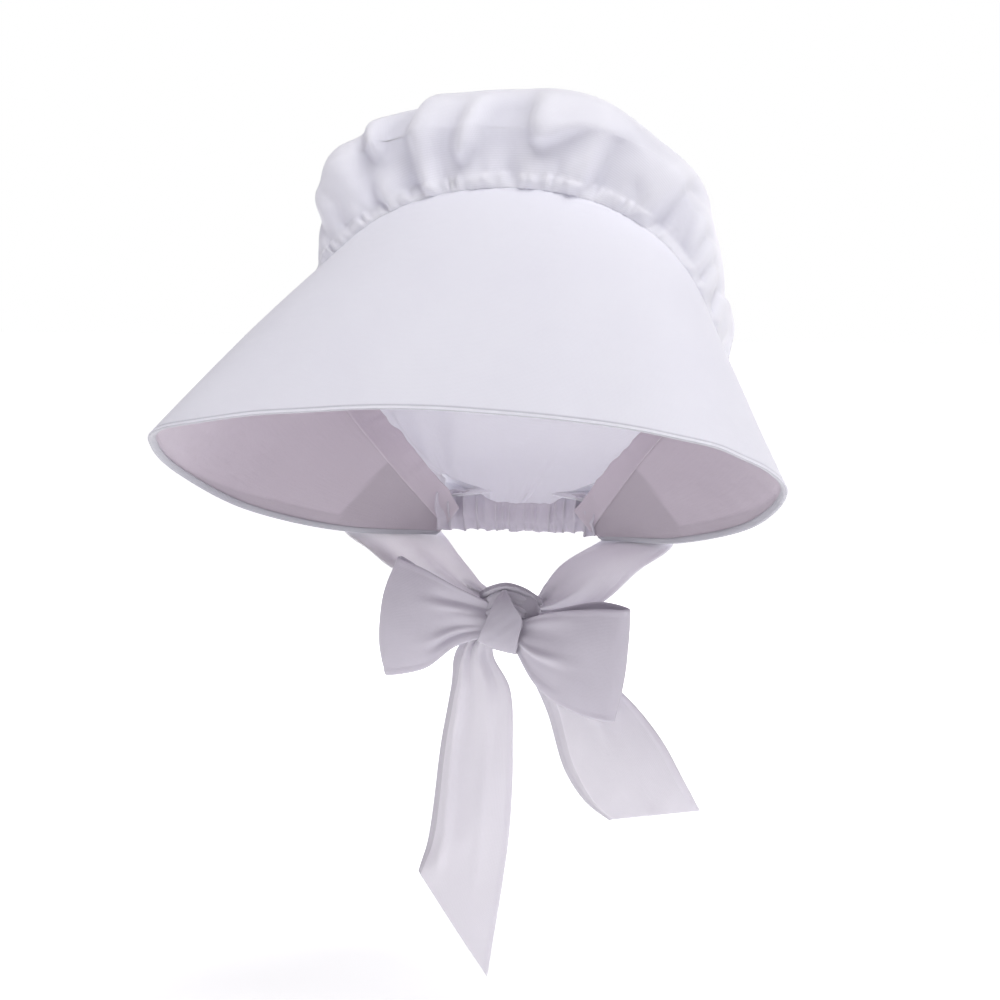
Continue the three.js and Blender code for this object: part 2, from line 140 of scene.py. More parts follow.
def cloth_faces(index, ring):
    """Both faces of the cloth, and two rows of quads round the border between them."""
    a, b, c, d = index[:-1, :-1], index[1:, :-1], index[1:, 1:], index[:-1, 1:]
    quads = np.stack([a, b, c, d], -1).reshape(-1, 4)
    count = index.size
    after = np.roll(ring, -1)
    middle = 2 * count + np.arange(len(ring))
    middle_after = np.roll(middle, -1)
    return np.vstack([
        quads,
        quads[:, ::-1] + count,
        np.stack([ring, after, middle_after, middle], -1),
        np.stack([middle, middle_after, after + count, ring + count], -1),
    ])


def flat_places(grid):
    """Each point's place on the flat cloth, from the mean length of the grid's steps."""
    u = summed(step_lengths(grid, axis=1).mean(0))
    v = summed(step_lengths(grid).mean(1))
    return np.stack(np.meshgrid(u, v), -1).reshape(-1, 2)


def placed(name, data, finish=None):
    """Makes an object of the data, and puts it in the scene."""
    made = bpy.data.objects.new(name, data)
    bpy.context.scene.collection.objects.link(made)
    if finish:
        data.materials.append(finish)
    return made


def cloth(name, grid, thickness, finish, replaces=(), thinning=1.0):
    """A piece of cloth that rides on the frame; thinning scales its thickness, across the grid."""
    grid = np.asarray(grid, float) * MM
    rows, columns = grid.shape[:2]
    normal = unit(np.cross(np.gradient(grid, axis=0), np.gradient(grid, axis=1)))
    half = thickness * MM / 2 * np.broadcast_to(thinning, (rows, columns))[..., None]
    near, far = ((grid + normal * half * way).reshape(-1, 3) for way in (1, -1))
    index, ring = numbered(rows, columns)
    points = grid.reshape(-1, 3)
    inner = index[np.clip(ring // columns, 1, rows - 2), np.clip(ring % columns, 1, columns - 2)]
    outward = unit(points[ring] - points[inner])
    rim = points[ring] + outward * half.reshape(-1, 1)[ring] * BORDER_REACH

    mesh = bpy.data.meshes.new(name)
    mesh.from_pydata(np.vstack([near, far, rim]).tolist(), [], cloth_faces(index, ring).tolist())
    place = flat_places(grid)
    place = np.vstack([place, place, place[ring]])
    corner = np.empty(len(mesh.loops), dtype=np.int64)
    mesh.loops.foreach_get("vertex_index", corner)
    mesh.uv_layers.new(name="flat_cloth").data.foreach_set("uv", place[corner].ravel())
    mesh.polygons.foreach_set("use_smooth", [True] * len(mesh.polygons))
    mesh.validate()
    mesh.update()
    piece = placed(name, mesh, finish)
    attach(piece, "root")
    if replaces:
        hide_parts(*replaces)
    return piece


# %% [markdown]
# One helper stores painted shade at each point, by which the finish darkens the colour. The
# other measures a grid's area, to compare it with the cloth that it was cut from.

# %% Painted shade and area
def mark_painted_shade(piece, painted_shade):
    """Stores the painted shade at each point of a piece's two faces and border."""
    flat = painted_shade.ravel()
    values = np.concatenate([flat, flat, flat[numbered(*painted_shade.shape)[1]]])
    layer = piece.data.attributes.new("painted_shade", "FLOAT", "POINT")
    layer.data.foreach_set("value", values.astype(np.float32))


def cloth_area(grid):
    """One side's area in square metres."""
    grid = np.asarray(grid, float) * MM
    cross = np.cross(np.gradient(grid, axis=0), np.gradient(grid, axis=1))
    return float(np.linalg.norm(cross, axis=-1).sum())


print("points round a 3 x 4 grid", len(numbered(3, 4)[1]))

# %% [markdown]
# ## Nodes
# Finishes, floor and world are node trees. Two helpers write them shortly: an input socket is
# given as a plain value, or as another node's output, which is then linked to it.

# %% Node helpers
def fill(tree, node, sockets):
    """Sets or links a node's input sockets, by name or number."""
    for key, value in sockets.items():
        if isinstance(value, bpy.types.NodeSocket):
            tree.links.new(value, node.inputs[key])
        else:
            node.inputs[key].default_value = value


def add(tree, kind, output, sockets, **settings):
    """Adds a node, and returns one of its outputs."""
    node = tree.nodes.new("ShaderNode" + kind)
    for key, value in settings.items():
        setattr(node, key, value)
    fill(tree, node, sockets)
    return node.outputs[output]


def ranged(tree, value, low, high, to_low, to_high):
    ends = {"From Min": low, "From Max": high, "To Min": to_low, "To Max": to_high}
    return add(tree, "MapRange", "Result", {"Value": value, **ends})


# %% [markdown]
# ## The cotton
# The cloth is a fine plain weave, white with a breath of lavender. Threads come from two sets
# of bands across the UV map, uneven in thickness because spun cotton is, and a slow noise
# gives the faint patches that ironing leaves. Subsurface scattering carries light into the
# cloth. An attribute darkens the colour with painted shade: where cloth lies double and less
# light passes, in deep creases, and where something behind the cloth blocks the light.

# %% A cotton finish
THREAD_PITCH = 0.00055
BAND_SCALE = 2 * math.pi / 20
ROUGHNESS = 0.82
ROUGHNESS_SPREAD = 0.06


def cotton(name, tint, shade, scatter, depth=2.0):
    """A cotton from tint to shade; scatter is the share of light that spreads depth mm inside."""
    finish = bpy.data.materials.new(name)
    finish.use_nodes = True
    tree = finish.node_tree

    def noise(vector, **values):
        return add(tree, "TexNoise", "Fac", {"Vector": vector, **values})

    def bump(height, strength, distance, **under):
        sockets = {"Height": height, "Strength": strength, "Distance": distance, **under}
        return add(tree, "Bump", "Normal", sockets)

    place = add(tree, "UVMap", "UV", {}, uv_map="flat_cloth")
    bands = {"Vector": place, "Scale": BAND_SCALE / THREAD_PITCH}
    bands |= {"Distortion": 0.6, "Detail": 1.0, "Detail Scale": 0.4}
    threads = [add(tree, "TexWave", "Fac", bands, bands_direction=way) for way in ("X", "Y")]
    weave = add(tree, "Math", 0, dict(enumerate(threads)), operation="MAXIMUM")
    stretched = add(tree, "Mapping", "Vector", {"Vector": place, "Scale": (1.0, 0.12, 1.0)})
    slubs = noise(stretched, Scale=420.0, Detail=2.0)
    where = add(tree, "TexCoord", "Object", {})
    patches = noise(where, Scale=16.0, Detail=3.0, Roughness=0.55)
    creases = noise(where, Scale=95.0, Detail=3.0, Roughness=0.6)

    patchy = ranged(tree, patches, 0.3, 0.62, 0.35, 1.0)
    colours = {"Factor": patchy, "A": (*shade, 1), "B": (*tint, 1)}
    colour = add(tree, "Mix", "Result", colours, data_type="RGBA")
    # painted shade: the stored value darkens the colour, down to 0.6 at a value of 2
    painted_shade = add(tree, "Attribute", "Fac", {}, attribute_name="painted_shade")
    darker = {0: ranged(tree, weave, 0.2, 1.0, 0.93, 1.0), 1: ranged(tree, painted_shade, 0.0, 2.0, 1.0, 0.6)}
    darker = add(tree, "Math", 0, darker, operation="MULTIPLY")
    both = {"Factor": 1.0, "A": colour, "B": darker}
    final = add(tree, "Mix", "Result", both, data_type="RGBA", blend_type="MULTIPLY")
    low, high = ROUGHNESS - ROUGHNESS_SPREAD, ROUGHNESS + ROUGHNESS_SPREAD
    uneven = bump(slubs, 0.3, 0.00025, Normal=bump(weave, 0.35, 0.00012))
    fill(tree, tree.nodes["Principled BSDF"], {
        "Base Color": final,
        "Roughness": ranged(tree, slubs, 0.3, 0.7, low, high),
        "Normal": bump(creases, 0.25, 0.0012, Normal=uneven),
        "Sheen Weight": 0.25, "Sheen Roughness": 0.45, "Specular IOR Level": 0.25,
        "Subsurface Weight": scatter, "Subsurface Radius": (depth * MM,) * 3,
        "Subsurface Scale": 1.0,
    })
    return finish


# %% [markdown]
# Each cloth has a finish of its own. The lining, the seam strip, the casing, the bow and the knot
# look pinker and darker: their finishes are darker, pinker copies of the cotton, painted shade for
# cloth that lies in shade under the brim or inside the bonnet. The tie cotton is a lighter copy,
# painted light for a tie that hangs in shade. A single layer lets more light through than two.

# %% The finishes
brim_cotton = cotton("brim cotton", (0.815, 0.813, 0.885), (0.785, 0.778, 0.86), 0.25)
# painted shade: a darker, pinker copy for the lining and the seam strip
lining_cotton_painted_shade = cotton("shade-painted lining cotton", (0.61, 0.55, 0.615), (0.58, 0.52, 0.585), 0.3)
crown_cotton = cotton("crown cotton", (0.865, 0.862, 0.955), (0.84, 0.836, 0.932), 0.7, 2.0)
ribbon_cotton = cotton("ribbon cotton", (0.865, 0.84, 0.9), (0.83, 0.805, 0.87), 0.35, 1.5)
# painted light: a lighter copy for a tie that hangs in shade
tie_cotton_painted_light = cotton("light-painted tie cotton", (0.9, 0.87, 0.93), (0.87, 0.84, 0.9), 0.7, 2.5)
# painted shade: darker copies for the bow, the casing and the knot
bow_cotton_painted_shade = cotton("shade-painted bow cotton", (0.635, 0.605, 0.675), (0.605, 0.575, 0.645), 0.3)
knot_cotton_painted_shade = cotton("shade-painted knot cotton", (0.545, 0.52, 0.58), (0.515, 0.49, 0.555), 0.3)
print("finishes", [m.name for m in bpy.data.materials if m.name.endswith("cotton")])

# %% [markdown]
# ## The seam and the brim
# Two curves carry the whole brim: the seam, which runs over the head from nape corner to nape
# corner, and the free rim. The brim is the ruled surface between them, bowed out a little.
# share runs from -1 at the wearer's right to 1 at the left, and out from 0 at the seam to 1 at
# the rim.

# %% Seam, rim and the brim between them
SEAM_ROWS = [(0, 0, 0), (53, 0, -9), (89, 1, -33), (107, 6, -72), (95, 11, -103), (66, 13, -138)]
SEAM_ROWS += [(36, 24, -174)]
RIM_ROWS = [(0, -115, -103), (77, -118, -107), (133, -116, -115), (153, -85, -126)]
RIM_ROWS += [(158, -44, -143), (136, -15, -162), (92, 7, -174), (40, 27, -176)]
BRIM_BOW = 2.0
SEAM_GAP = 0.4
RIB_ROOT = (27, -154)


def symmetric_curve(rows):
    mirrored = [(-x, y, z) for x, y, z in rows[:0:-1]]
    curve = smooth_curve(mirrored + list(rows))
    return lambda share: curve((np.asarray(share, float) + 1) / 2)


seam_at = symmetric_curve(SEAM_ROWS)
rim_at = symmetric_curve(RIM_ROWS)
share_steps = np.linspace(0, 1, 400)
seam_steps = summed(step_lengths(seam_at(share_steps)))


def seam_length(share):
    """mm along the seam from the top of the head, negative on the wearer's right."""
    return np.sign(share) * np.interp(np.abs(share), share_steps, seam_steps)


def brim_point(share, out):
    seam = seam_at(share)
    way = rim_at(share) - seam
    start = SEAM_GAP / np.linalg.norm(way, axis=-1)
    along = start + (1 - start) * out
    point = seam + way * along[..., None]
    up = np.stack([point[..., 0], point[..., 1] / 2, point[..., 2] - RIB_ROOT[1]], -1)
    bow = BRIM_BOW * np.sin(np.pi * np.clip(out, 0, 1)) * (1 - np.asarray(share) ** 4)
    return point + unit(up) * bow[..., None]


def brim_normal(share, out):
    """Points from the brim in towards the head."""
    step = 0.01
    along = brim_point(share + step, out) - brim_point(share - step, out)
    outward = brim_point(share, out + step) - brim_point(share, out - step)
    return unit(np.cross(along, outward))


print("seam from corner to corner", round(2 * seam_steps[-1]), "mm")

# %% [markdown]
# The outer cloth is turned in round the rim and meets the lining there, which leaves a thin lip
# and a groove. So each line of the outer grid runs from the seam to the rim, half way round a
# small circle, and a little way back inside. Stiffened cotton is never quite flat: slow waves
# of a few tenths of a millimetre keep its shading alive, strongest at the rim.

# %% The outer brim with its turned rim
BRIM_END = 0.985
LIP_RADIUS = 0.65
LIP_BACK = 2.6
# the stitch groove: depth, distance from the rim and width in mm, and its painted shade; below it, the
# painted shade under the turned edge
RIM_GROOVE = {"depth": 0.5, "from_rim": 1.7, "width": 0.5, "painted_shade": 1.8}
LIP_PAINTED_SHADE = 2.0
LIP_SINGLE_LINES = 3
# height and length of the waves in mm, and the seed of their draws
RIM_WAVE = (0.55, 95, 3)
FIELD_WAVE = (0.22, 120, 5)
SEAM_WAVE = (0.14, 17, 8)
brim_shares = np.linspace(-BRIM_END, BRIM_END, 361)
flat_out = np.concatenate([np.linspace(0, 0.965, 52), np.linspace(0.97, 1, 14)])
brim_depth = np.linalg.norm(rim_at(brim_shares) - seam_at(brim_shares), axis=-1)


def brim_waves(share, out):
    def wave(height, length, seed, shift=0.0):
        return height * wobble(seam_length(share) / length + shift, seed)

    field = wave(*FIELD_WAVE, shift=out * 0.6) * np.sin(np.pi * out)
    return wave(*RIM_WAVE) * out**3 + field + wave(*SEAM_WAVE) * fade(out / 0.1)


def rim_line(out):
    """1 on the line of stitches just inside the rim, where the outer cloth is drawn in, else 0."""
    from_rim = (1 - out) * brim_depth[:, None]
    return np.exp(-(((from_rim - RIM_GROOVE["from_rim"]) / RIM_GROOVE["width"]) ** 2))


def brim_grid():
    share, out = np.meshgrid(brim_shares, flat_out, indexing="ij")
    stop = 1 - LIP_RADIUS / brim_depth[:, None]
    out = out * stop
    wave = brim_waves(share, out) + RIM_GROOVE["depth"] * rim_line(out)
    body = brim_point(share, out) + brim_normal(share, out) * wave[..., None]
    edge, inward = body[:, -1], brim_normal(share[:, -1], out[:, -1])
    outward = unit(body[:, -1] - body[:, -3])
    lines = [body]
    for angle in np.linspace(20, 180, 9):
        a = math.radians(angle)
        point = edge + outward * math.sin(a) * LIP_RADIUS
        lines.append((point + inward * (1 - math.cos(a)) * LIP_RADIUS)[:, None])
    for back in (0.5, 1.0):
        point = edge - outward * back * LIP_BACK + inward * 2 * LIP_RADIUS
        lines.append(point[:, None])
    return np.concatenate(lines, axis=1)


# %% [markdown]
# The underside of the turned edge and the line of stitches hold more layers of cloth; both
# also get painted shade in the colour, for the shadow under the lip and in the groove.

# %% The brim's cloth
brim_points = brim_grid()
brim = cloth("brim_outer_cloth", brim_points, 0.7, brim_cotton, ["brim"])
stop = 1 - LIP_RADIUS / brim_depth[:, None]
# painted shade under the turned edge and in the stitch groove
lip = np.full(brim_points.shape[:2], LIP_PAINTED_SHADE)
lip[:, : len(flat_out) + LIP_SINGLE_LINES] = 0.0
lip[:, : len(flat_out)] = RIM_GROOVE["painted_shade"] * rim_line(flat_out[None] * stop)
mark_painted_shade(brim, lip)
print("brim", brim_points.shape, "greatest depth", round(float(brim_depth.max())), "mm")

# %% [markdown]
# ## The lining
# The lining is a second cloth just inside the first, with a darker, pinker finish: painted
# shade, as the brim's inside lies in shade. In daylight it looks darker still, with clear
# edges, where something lies behind and blocks the light that comes through the brim: the
# folded hem along the lower rim, and the ends of the ties, stitched flat to the brim's outside.
# Both get painted shade in the colour, with a step of a fraction of a millimetre in the surface.

# %% The brim's lining
LINING_DEPTH = 0.95
LINING_EASE = 0.9
LINING_FROM_RIM = 1.6
DOUBLED_STEP = 0.25
LINING_PAINTED_SHADE = 0.85
HEM_SHADE = 0.7
HEM_BAND = 11.0
HEM_FADE = 1.2
TIE_END_SHARE = 0.832
TIE_END_FADE = 0.004


def paint_lining_shade(share, out):
    """Painted shade on the lining where a tie's end or the turned hem lies behind it, or none."""
    side = np.abs(share)
    tie_end = np.clip((side - TIE_END_SHARE - 0.01 * out) / TIE_END_FADE, 0, 1)
    width = np.interp(side, [0.3, 0.55, 0.75, 1], [0, 4, HEM_BAND, HEM_BAND])
    hem = np.clip((width - (1 - out) * brim_depth[:, None]) / HEM_FADE, 0, 1)
    return LINING_PAINTED_SHADE * np.maximum(tie_end, hem * HEM_SHADE)


def lining_grid():
    share, out = np.meshgrid(brim_shares, np.linspace(0, 1, 72), indexing="ij")
    out = out * (1 - LINING_FROM_RIM / brim_depth[:, None])
    length = seam_length(share)
    wave = brim_waves(share, out) + 0.12 * wobble(length / 31 + out, 21) * out
    painted_shade = paint_lining_shade(share, out)
    depth = LINING_DEPTH + wave * LINING_EASE + DOUBLED_STEP * painted_shade
    return brim_point(share, out) + brim_normal(share, out) * depth[..., None], painted_shade


# the lining's painted shade, stored for its finish to darken
lining_points, lining_painted_shade = lining_grid()
lining = cloth("brim_lining_cloth", lining_points, 0.7, lining_cotton_painted_shade, ["brim_lining"])
mark_painted_shade(lining, lining_painted_shade)
print("lining", lining_points.shape, "doubled share", round(float(lining_painted_shade.mean()), 3))

# %% [markdown]
# ## The crown's form
# The crown is a bag of cloth held by the seam in front and by the elastic at the nape. Its ribs
# spring from the nape like a fan's, so each rib is half an oval, boxy at the shoulders, and
# `back` runs from 0 at the seam to 1 at the nape. This smooth form is the solid's, except that
# its front edge laps under the brim and its nape edge hangs lower in the middle. Every gather is
# a displacement of it along its surface normal.

# %% The smooth crown
CROWN_ROWS = np.array([
    # y, z, half width, squareness of the shoulders
    (-5, 14, 111, 2.9), (-3, 32, 110, 3.0), (10, 46, 108, 2.9), (38, 49, 105, 2.6),
    (80, 30, 99, 2.4), (113, -4, 92, 2.3), (128, -50, 82, 2.2), (124, -98, 70, 2.2),
    (102, -136, 58, 2.2), (68, -154, 50, 2.2), (38, -157, 46, 2.2),
])
RIB_WAIST = 0.46
RIB_MIDDLE_Z = -77
CROWN_LEAN = -4
LEAN_OVER = 0.4
RIGHT_SIDE_WIDTH = 0.975
CROWN_SHARE = 0.915
CROWN_END = 0.955
CROWN_LAP = {"over": 0.5, "depth": 0.55, "length": 3.0}
FRONT_BLEND = 0.1
SIDE_BLEND = 0.1
NAPE_BLEND = 0.2
NAPE_HALF = 42
CASING_TOP_Z = -154.6
CASING_HEIGHT = 18.8
CASING_TOP_X = 42
CASING_BOTTOM_X = 40.5
CASING_FORWARD = 11
NAPE_LINE = (29, -156)
NAPE_SET_BACK = 2
NAPE_SQUARENESS = 6
NAPE_DIP = {"depth": 5, "level": 13, "slope": 14}
crown_top = smooth_curve(CROWN_ROWS[:, :3])


def nape_dip(x):
    """How far the gathered edge hangs lower in the middle of the nape, at x mm from the middle."""
    return NAPE_DIP["depth"] * fade((np.abs(x) - NAPE_DIP["level"]) / NAPE_DIP["slope"])


def nape_place(share):
    """How far round the nape a rib ends, from -1 to 1."""
    return np.sin(np.pi / 2 * np.clip(share / CROWN_SHARE, -1, 1))


def crown_form(share, back):
    share, back = np.broadcast_arrays(np.asarray(share, float), np.asarray(back, float))
    seam_point = seam_at(share)
    seam = seam_point + unit(rim_at(share) - seam_point) * CROWN_LAP["over"]
    angle = np.arctan2(seam[..., 0], seam[..., 2] - RIB_MIDDLE_Z)
    top = crown_top(back)
    rise_y, rise_z, wide = top[..., 0] - RIB_ROOT[0], top[..., 1] - RIB_ROOT[1], top[..., 2]
    wide = wide * np.where(share < 0, RIGHT_SIDE_WIDTH, 1)
    height = np.hypot(rise_y, rise_z)
    square = np.interp(back * (len(CROWN_ROWS) - 1), range(len(CROWN_ROWS)), CROWN_ROWS[:, 3])
    upper = np.cos(angle) > 0
    power = np.where(upper, square, 2.0)
    tall = height * np.where(upper, 1 - RIB_WAIST, RIB_WAIST)
    reach = np.abs(np.sin(angle) / wide) ** power + np.abs(np.cos(angle) / tall) ** power
    reach = reach ** (-1 / power)
    up = RIB_WAIST + reach * np.cos(angle) / height
    lean = CROWN_LEAN * (1 - fade((up - RIB_WAIST) / LEAN_OVER))
    rib_x = reach * np.sin(angle) + lean
    rib = np.stack([rib_x, RIB_ROOT[0] + up * rise_y, RIB_ROOT[1] + up * rise_z], -1)
    nape_x = NAPE_HALF * nape_place(share)
    nape_y = NAPE_LINE[0] + NAPE_SET_BACK - CASING_FORWARD * (nape_x / CASING_TOP_X) ** NAPE_SQUARENESS
    nape = np.stack([nape_x, nape_y, NAPE_LINE[1] - nape_dip(nape_x)], -1)
    front = fade(back / (FRONT_BLEND + SIDE_BLEND * np.sin(angle) ** 4))[..., None]
    rear = fade((1 - back) / NAPE_BLEND)[..., None]
    form = seam * front + rib * (1 - front)
    return form * (1 - rear) + nape * rear


def crown_inward(share, back):
    """Points from the smooth crown in towards the head."""
    step = 0.01
    after, before = np.minimum(back + step, 1), np.maximum(back - step, 0)
    along = crown_form(share + step, back) - crown_form(share - step, back)
    return unit(np.cross(crown_form(share, after) - crown_form(share, before), along))


print("crown's highest point", np.round(crown_form(0.0, np.linspace(0, 1, 50)).max(0)), "mm")

# %% [markdown]
# ## The crown's folds
# The cloth is cut much wider than the seam and drawn up on a thread. At the seam that gives
# small puckers, which join further back into a few large folds. A fold isn't a wave: its bottom
# is a narrow line, one side is steep where cloth hangs over it, and the other side is gentle.
# So each fold is a line on the crown, from the puff down towards the seam, through a few
# places: u is mm along the seam and v is mm back from it. Sculpting by hand would do the same,
# but lines in a table can be moved and measured.

# %% The lines of the large folds
FOLDS = [
    # depth (minus bulges), steep side's width (minus swaps the sides), gentle side's width, all
    # in mm, then the (u, v) places
    (8.0, 3.6, 7.0, [(-60, 70), (-57, 42), (-53, 26), (-48, 30), (-43, 56), (-42, 70)]),
    (5.5, 4.0, 6.5, [(-56, 32), (-61, 20), (-64, 9), (-62, 0)]),
    (7.5, 3.5, 8.0, [(-33, 84), (-35, 58), (-39, 34), (-40, 20), (-43, 8), (-42, 0)]),
    (7.0, 3.4, 7.0, [(-14, 66), (-16, 40), (-21, 20), (-18, 13), (-9, 19), (-3, 36), (-1, 72)]),
    (4.0, 4.5, 6.0, [(-26, 26), (-28, 10), (-24, 0)]),
    (7.0, 3.4, 9.0, [(7, 72), (10, 44), (12, 28), (16, 21), (25, 23), (34, 30), (52, 38)]),
    (5.5, 6.0, 7.0, [(4, 60), (4, 26), (4, 12), (3, 0)]),
    (3.0, 3.5, 5.0, [(25, 20), (27, 8), (25, 0)]),
    (6.0, -3.2, 8.0, [(50, 42), (47, 24), (46, 12), (44, 0)]),
    (2.5, 3.5, 6.0, [(63, 20), (66, 7), (65, 0)]),
    (7.0, 14.0, 16.0, [(48, 96), (60, 56), (68, 30)]),
    (5.5, -4.2, 8.0, [(93, 64), (89, 44), (83, 19), (79, 0)]),
    (4.0, 3.4, 6.0, [(98, 40), (94, 22), (94, 10), (95, 0)]),
    (4.5, 3.4, 6.0, [(112, 40), (107, 22), (104, 8), (102, 0)]),
    (3.6, 3.4, 6.0, [(123, 34), (118, 14), (113, 0)]),
    (4.0, 3.2, 7.0, [(139, 44), (134, 18), (130, 0)]),
    (-6.0, 8.0, 11.0, [(160, 90), (156, 46), (152, 22), (150, 8)]),
    (4.5, 4.0, 8.0, [(184, 50), (178, 18), (176, 0)]),
    (-3.5, 14.0, 14.0, [(-66, 76), (-76, 34), (-92, 4)]),
    (4.0, -4.6, 8.0, [(-82, 44), (-79, 20), (-83, 8), (-74, 0)]),
    (3.2, -4.6, 8.0, [(-100, 44), (-95, 22), (-94, 10), (-96, 0)]),
    (7.5, 14.0, 16.0, [(-128, 90), (-112, 34), (-107, 6)]),
    (4.0, 4.2, 8.0, [(-144, 70), (-134, 26), (-136, 0)]),
    (4.0, 4.0, 8.0, [(-166, 48), (-156, 16), (-158, 0)]),
    (3.0, 4.0, 9.0, [(-190, 44), (-184, 16), (-186, 0)]),
]
print("large folds", len(FOLDS))

# %% [markdown]
# The depth at a point depends on its distance from the fold's line, on which side of the line
# it lies, and on how far along the line it is nearest to: a fold starts and ends softly.

# %% How far a fold sinks the cloth
DEEPEST_SINK = 10.0
RIDGE_SHARE = 0.2
FOLD_END = 0.35
FOLD_SHARPNESS = 1.8


def even_line(places, spacing=0.8):
    """Points every spacing mm along the smooth line through a fold's places."""
    fine = smooth_curve(places)(np.linspace(0, 1, 400))
    run = summed(step_lengths(fine))
    steps = np.linspace(0, run[-1], max(int(run[-1] / spacing), 12))
    return np.stack([np.interp(steps, run, fine[:, 0]), np.interp(steps, run, fine[:, 1])], -1)


def fold_sink(along, length, depth, steep, gentle, places):
    """mm that one fold sinks each point, which lies along mm on the seam and length mm back."""
    line = even_line(places)
    reach = 3.2 * gentle
    near = (along > line[:, 0].min() - reach) & (along < line[:, 0].max() + reach)
    near &= (length > line[:, 1].min() - reach) & (length < line[:, 1].max() + reach)
    offset = np.stack([along[near], length[near]], -1)[:, None] - line[None]
    way = unit(np.gradient(line, axis=0))[None]
    side = way[..., 0] * offset[..., 1] - way[..., 1] * offset[..., 0]
    lean = 0.5 + 0.5 * np.tanh(np.sign(steep) * side / 2.0)
    wide = gentle + (abs(steep) - gentle) * lean
    share = np.linspace(0, 1, len(line))
    ends = 1 - fade(share / FOLD_END)
    if places[-1][1] > 0:
        ends = ends * (1 - fade((1 - share) / FOLD_END))
    gap = np.linalg.norm(offset, axis=-1)
    valley = (ends[None] * np.exp(-((gap / wide) ** FOLD_SHARPNESS))).max(1)
    nearest = gap.argmin(1)
    row = np.arange(len(nearest))
    rise = np.exp(-(((gap[row, nearest] - 2.3 * abs(steep)) / (1.3 * abs(steep))) ** 2))
    ridge = RIDGE_SHARE * ends[nearest] * lean[row, nearest] * rise
    sink = np.zeros_like(along)
    sink[near] = depth * (valley - ridge)
    return sink


# %% [markdown]
# The puckers are uneven waves. Along the seam there are fine ones about every 5 mm and wider
# ones every 14 mm, which die out a little way back. At the nape the elastic's ruffles run up
# into the crown, and a few wide pleats fan out above them.

# %% Puckers at the seam and the nape
SEAM_PUCKER = {"pitch": 5.4, "depth": 1.6, "length": 9}
SEAM_PLEAT = {"pitch": 13.5, "depth": 0.8, "length": 24}
RUFFLE_DEPTH = 0.6
FAN = {"pleats": 7, "depth": 1.4}


def seam_pleats(along, length):
    """Small uneven puckers at the seam, in mm sunk."""
    turn = along / SEAM_PUCKER["pitch"] + 0.6 * wobble(along / 40, 91)
    at_the_sides = 1 - 0.5 * np.clip(np.abs(along) / 80 - 1, 0, 1)
    size = (0.75 + 0.45 * wobble(along / 19, 92)) * at_the_sides
    reach = SEAM_PUCKER["length"] + 4 * wobble(along / 13, 93)
    small = SEAM_PUCKER["depth"] * size * (hill(turn) ** 1.5 - 0.4) * fade(length / reach)
    turn = along / SEAM_PLEAT["pitch"] + 0.5 * wobble(along / 60, 94)
    middle = -SEAM_PLEAT["depth"] * np.cos(2 * np.pi * turn) * (0.7 + 0.5 * wobble(along / 35, 95))
    middle = middle * fade(length / (SEAM_PLEAT["length"] + 8 * wobble(along / 50, 96)))
    return (small + middle) * (1 - fade(length / 2))


def ruffle_turn(x):
    """Turns of the elastic's ruffles at x mm from the middle: 4 mm apart there, 7 mm at the ends."""
    steps = np.linspace(0, 48, 200)
    turns = summed(np.diff(steps) / (4 + 3 * (steps[1:] / 36) ** 2))
    return np.sign(x) * np.interp(np.abs(x), steps, turns) + 0.3 * wobble(x / 30, 61)


def nape_pleats(share, back, length):
    """Gathers that fan up from the elastic at the nape."""
    x = CASING_TOP_X * nape_place(share)
    fine = RUFFLE_DEPTH * hill(ruffle_turn(x))
    reach = 0.07 + 0.02 * wobble(x / 11, 63)
    fine = fine * (0.8 + 0.5 * wobble(x / 17, 62)) * fade((1 - back) / reach)
    fan = share * FAN["pleats"] + 0.6 * wobble(share * 3, 98)
    wide = FAN["depth"] * hill(fan) * (0.75 + 0.4 * wobble(share * 3, 99))
    wide = wide * fade((1 - back) / (0.26 + 0.08 * wobble(share * 3, 100)))
    return (fine + wide) * (1 - fade(length / 30)) * (1 - fade((1 - back) / 0.008))


print("ruffles from the middle to an end", round(float(ruffle_turn(CASING_TOP_X)), 1))

# %% [markdown]
# The cloth also rolls over the seam in small beads before it turns back, and it is tucked a
# little under the brim there. Deep creases get painted shade in the colour, which darkens them.
# The crown is cut as half a round, 27 cm in radius: the curved edge is drawn in to the seam.

# %% The gathered crown
CREASE_SHADE = 0.9
CREASE_START = 1.0
SEAM_ROLL = 1.6
ROLL_PITCH = 8.2
ROLL_LENGTH = 8.0


def softened(values):
    """Averages each value a little with its neighbours in the grid."""
    for _ in range(2):
        ahead, behind = np.vstack([values[1:], values[-1:]]), np.vstack([values[:1], values[:-1]])
        values = (0.5 * values + 0.25 * (ahead + behind)).T
    return values


def crown_sink(share, back, u, length):
    """mm that the cloth lies inside the smooth form, with all folds and puckers."""
    sink = sum(fold_sink(u, length, *row) for row in FOLDS)
    sink = DEEPEST_SINK * np.tanh(sink / DEEPEST_SINK)
    sink = sink * (1 - fade(length / 5)) + seam_pleats(u, length)
    sink = sink + nape_pleats(share, back, length)
    sink = sink + 0.9 * wobble(share * 2.1 + back * 1.7, 101) * np.sin(np.pi * back)
    return softened(sink)


